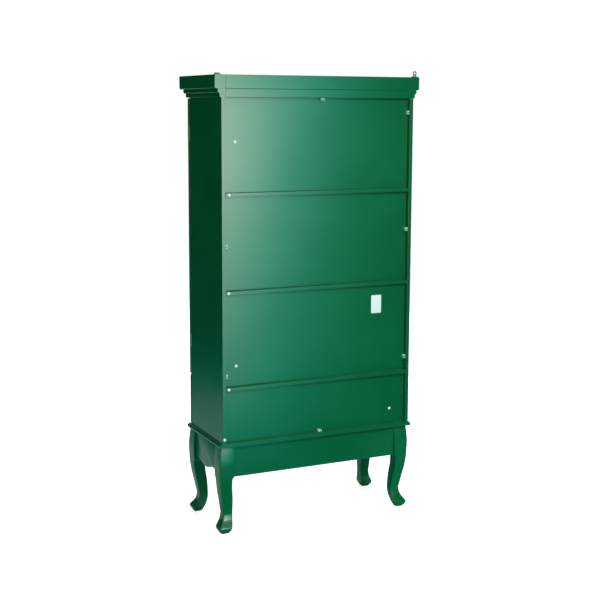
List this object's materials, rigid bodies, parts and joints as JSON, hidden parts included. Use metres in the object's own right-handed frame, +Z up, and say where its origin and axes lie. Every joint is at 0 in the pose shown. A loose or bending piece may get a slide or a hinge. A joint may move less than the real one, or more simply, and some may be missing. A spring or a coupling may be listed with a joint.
{
  "type": "display cabinet",
  "caption": "Tall painted display cabinet on cabriole legs, with glazed doors, open shelves inside, a wide drawer, a stepped crown and anti-tip eyes.",
  "frame": {"origin": "on the floor under the middle of the overall width and depth", "axes": "+Z up, -Y towards the front with the doors, +X to the right as seen from the front"},
  "size_m": [0.956, 0.4138, 1.9627],
  "materials": {
    "satin_green_paint": "satin emerald green paint on board",
    "clear_glass": "clear polished",
    "aged_brass": "aged satin",
    "dark_steel": "dark grey"
  },
  "bodies": {
    "carcass": {"side_panel_left": "satin_green_paint", "side_panel_right": "satin_green_paint", "shelf_upper": "satin_green_paint", "shelf_lower": "satin_green_paint", "drawer_divider": "satin_green_paint", "carcass_top": "satin_green_paint", "back_panel_drawer": "satin_green_paint", "back_panel_lower": "satin_green_paint", "back_panel_middle": "satin_green_paint", "back_panel_upper": "satin_green_paint", "crown_left": "satin_green_paint", "crown_right": "satin_green_paint", "crown_front": "satin_green_paint", "crown_rear_rail_lower": "satin_green_paint", "crown_rear_rail_upper": "satin_green_paint", "top_board": "satin_green_paint", "base_plate": "satin_green_paint", "leg_front_left": "satin_green_paint", "leg_front_right": "satin_green_paint", "leg_rear_left": "satin_green_paint", "leg_rear_right": "satin_green_paint", "apron_front": "satin_green_paint", "apron_left": "satin_green_paint", "apron_right": "satin_green_paint", "apron_rear": "satin_green_paint", "drawer_runner_left": "satin_green_paint", "drawer_runner_right": "satin_green_paint", "hinge_left_lower_leaf_fixed": "aged_brass", "hinge_left_upper_leaf_fixed": "aged_brass", "hinge_right_lower_leaf_fixed": "aged_brass", "hinge_right_upper_leaf_fixed": "aged_brass", "eye_plate_left": "dark_steel", "eye_plate_right": "dark_steel"},
    "door_left": {"door_left_hinge_stile": "satin_green_paint", "door_left_meeting_stile": "satin_green_paint", "door_left_bottom_rail": "satin_green_paint", "door_left_top_rail": "satin_green_paint", "door_left_glazing_bars": "satin_green_paint", "door_left_glass": "clear_glass", "door_left_knob": "aged_brass", "hinge_left_lower_leaf_moving": "aged_brass", "hinge_left_upper_leaf_moving": "aged_brass"},
    "door_right": {"door_right_hinge_stile": "satin_green_paint", "door_right_meeting_stile": "satin_green_paint", "door_right_bottom_rail": "satin_green_paint", "door_right_top_rail": "satin_green_paint", "door_right_glazing_bars": "satin_green_paint", "door_right_glass": "clear_glass", "door_right_knob": "aged_brass", "hinge_right_lower_leaf_moving": "aged_brass", "hinge_right_upper_leaf_moving": "aged_brass"},
    "drawer": {"drawer_front": "satin_green_paint", "drawer_side_left": "satin_green_paint", "drawer_side_right": "satin_green_paint", "drawer_back": "satin_green_paint", "drawer_bottom": "satin_green_paint", "drawer_knob_left": "aged_brass", "drawer_knob_right": "aged_brass"},
    "eye_left": {"eye_ring_left": "dark_steel"},
    "eye_right": {"eye_ring_right": "dark_steel"}
  },
  "joints": [
    {"name": "door_left_hinge", "type": "hinge", "parent": "carcass", "child": "door_left", "pos_m": [-0.4492, -0.16335, 0.6315], "axis": [0, 0, -1], "range_deg": [0, 110]},
    {"name": "door_right_hinge", "type": "hinge", "parent": "carcass", "child": "door_right", "pos_m": [0.4492, -0.16335, 0.6315], "axis": [0, 0, 1], "range_deg": [0, 110]},
    {"name": "drawer_slide", "type": "slide", "parent": "carcass", "child": "drawer", "axis": [0, -1, 0], "range_m": [0, 0.26]},
    {"name": "eye_left_pivot", "type": "hinge", "parent": "carcass", "child": "eye_left", "pos_m": [-0.461, 0.19495, 1.9407], "axis": [-1, 0, 0], "range_deg": [-88, 88]},
    {"name": "eye_right_pivot", "type": "hinge", "parent": "carcass", "child": "eye_right", "pos_m": [0.461, 0.19495, 1.9407], "axis": [-1, 0, 0], "range_deg": [0, 176]}
  ]
}
